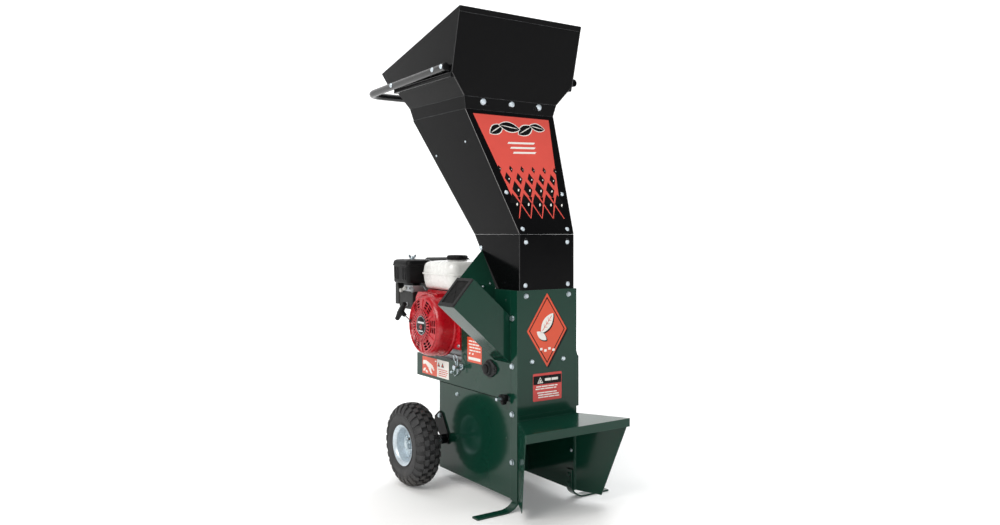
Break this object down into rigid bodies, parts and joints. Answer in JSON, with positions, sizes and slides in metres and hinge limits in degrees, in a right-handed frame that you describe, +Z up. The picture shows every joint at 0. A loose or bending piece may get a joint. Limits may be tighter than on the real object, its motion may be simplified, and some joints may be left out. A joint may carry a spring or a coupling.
{
  "type": "wood chipper",
  "caption": "Petrol wood chipper and shredder on two wheels, with a tall top hopper, a side feed chute, a front discharge hood and a belt-driven rotor.",
  "frame": {"origin": "middle of the base of the object's box, on the ground", "axes": "+Z up; -Y towards the discharge side; +X towards the belt guard, away from the side feed chute"},
  "size_m": [0.5744, 0.8616, 1.457],
  "materials": {
    "green_paint": "gloss dark green powder coat",
    "black_paint": "satin black powder coat",
    "engine_red": "gloss red enamel",
    "tank_white": "gloss off-white enamel",
    "black_plastic": "moulded black plastic",
    "rubber": "black sheet rubber",
    "tyre_rubber": "dark grey tyre rubber",
    "zinc": "bright zinc plate",
    "bare_steel": "ground tool steel",
    "cast_iron": "dark cast iron",
    "engine_alloy": "as-cast aluminium",
    "grey_plastic": "grey plastic",
    "heat_black": "heat-resistant black paint"
  },
  "bodies": {
    "chassis": {"base_shell": "green_paint", "discharge_baffle": "green_paint", "upper_side_left": "green_paint", "upper_side_right": "green_paint", "front_panel": "green_paint", "housing_back": "green_paint", "engine_deck": "green_paint", "feed_chute": "green_paint", "discharge_hood": "green_paint", "foot_left": "green_paint", "foot_right": "green_paint", "belt_guard": "green_paint", "neck_lower": "black_paint", "neck_upper": "black_paint", "hopper_collar": "black_paint", "hopper_funnel": "black_paint", "hopper_hood": "black_paint", "push_handle": "black_paint", "axle_bracket_left": "black_paint", "axle_bracket_right": "black_paint", "fan_cowl": "engine_red", "fuel_tank": "tank_white", "air_cleaner": "black_plastic", "chute_curtain": "rubber", "v_belt": "rubber", "axle": "zinc", "knob_stud": "zinc", "bed_knife": "bare_steel", "bearing_left": "cast_iron", "bearing_right": "cast_iron", "crankcase": "engine_alloy", "cylinder": "engine_alloy", "carburettor": "engine_alloy", "muffler": "heat_black"},
    "wheel_left": {"tyre_left": "tyre_rubber", "rim_left": "zinc"},
    "wheel_right": {"tyre_right": "tyre_rubber", "rim_right": "zinc"},
    "rotor": {"rotor_shaft": "bare_steel", "rotor_disc": "cast_iron", "chip_blade_a": "bare_steel", "chip_blade_b": "bare_steel", "flail_cage": "cast_iron", "rotor_pulley": "cast_iron"},
    "flail_a": {"flail_set_a": "bare_steel"},
    "flail_b": {"flail_set_b": "bare_steel"},
    "crank": {"crankshaft": "bare_steel", "engine_pulley": "cast_iron", "flywheel": "cast_iron"},
    "starter": {"starter_grip": "black_plastic", "starter_rope": "grey_plastic"},
    "choke": {"choke_lever": "grey_plastic"},
    "throttle": {"throttle_lever": "grey_plastic"},
    "fuel_tap": {"fuel_tap": "grey_plastic"},
    "stop_switch": {"stop_switch": "black_plastic"},
    "fuel_cap": {"fuel_cap": "black_plastic"},
    "air_nut": {"wing_nut": "black_plastic"},
    "oil_cap": {"oil_filler": "black_plastic"},
    "latch": {"latch_pin": "zinc"},
    "clamp_knob": {"hand_knob": "black_plastic"}
  },
  "joints": [
    {"name": "wheel_left_spin", "type": "hinge", "parent": "chassis", "child": "wheel_left", "pos_m": [-0.21282, 0.12023, 0.13], "axis": [1, 0, 0], "continuous": true},
    {"name": "wheel_right_spin", "type": "hinge", "parent": "chassis", "child": "wheel_right", "pos_m": [0.24518, 0.12023, 0.13], "axis": [1, 0, 0], "continuous": true},
    {"name": "rotor_spin", "type": "hinge", "parent": "chassis", "child": "rotor", "pos_m": [0.01618, -0.13977, 0.392], "axis": [1, 0, 0], "continuous": true},
    {"name": "crank_spin", "type": "hinge", "parent": "chassis", "child": "crank", "pos_m": [0.01618, 0.14523, 0.5], "axis": [1, 0, 0], "continuous": true},
    {"name": "flail_a_swing", "type": "hinge", "parent": "rotor", "child": "flail_a", "pos_m": [0.01618, -0.07044, 0.43943], "axis": [1, 0, 0], "continuous": true},
    {"name": "flail_b_swing", "type": "hinge", "parent": "rotor", "child": "flail_b", "pos_m": [0.01618, -0.20909, 0.34457], "axis": [1, 0, 0], "continuous": true},
    {"name": "starter_pull", "type": "slide", "parent": "chassis", "child": "starter", "axis": [-0.4209, 0.6414, 0.6414], "range_m": [0, 0.35], "stiffness_N_per_m": 20, "springref_m": -0.15},
    {"name": "choke_turn", "type": "hinge", "parent": "chassis", "child": "choke", "pos_m": [-0.13422, 0.28023, 0.611], "axis": [1, 0, 0], "range_deg": [0, 40]},
    {"name": "throttle_turn", "type": "hinge", "parent": "chassis", "child": "throttle", "pos_m": [-0.13422, 0.31623, 0.611], "axis": [1, 0, 0], "range_deg": [-45, 0]},
    {"name": "fuel_tap_turn", "type": "hinge", "parent": "chassis", "child": "fuel_tap", "pos_m": [-0.13382, 0.30623, 0.556], "axis": [1, 0, 0], "range_deg": [0, 80]},
    {"name": "stop_switch_turn", "type": "hinge", "parent": "chassis", "child": "stop_switch", "pos_m": [-0.07682, 0.01823, 0.462], "axis": [0, 1, 0], "range_deg": [0, 60]},
    {"name": "fuel_cap_turn", "type": "hinge", "parent": "chassis", "child": "fuel_cap", "pos_m": [-0.05382, 0.11023, 0.72], "axis": [0, 0, 1], "continuous": true},
    {"name": "air_nut_turn", "type": "hinge", "parent": "chassis", "child": "air_nut", "pos_m": [-0.10782, 0.31823, 0.715], "axis": [0, 0, 1], "continuous": true},
    {"name": "oil_cap_turn", "type": "hinge", "parent": "chassis", "child": "oil_cap", "pos_m": [-0.02382, 0.04823, 0.42], "axis": [0, 1, 0], "continuous": true},
    {"name": "latch_slide", "type": "slide", "parent": "chassis", "child": "latch", "axis": [-1, 0, 0], "range_m": [0, 0.05]},
    {"name": "clamp_knob_turn", "type": "hinge", "parent": "chassis", "child": "clamp_knob", "pos_m": [-0.10182, -0.22977, 0.318], "axis": [1, 0, 0], "continuous": true}
  ],
  "couplings": [
    {"joint": "crank_spin", "follows": "rotor_spin", "ratio": 1.8333}
  ]
}
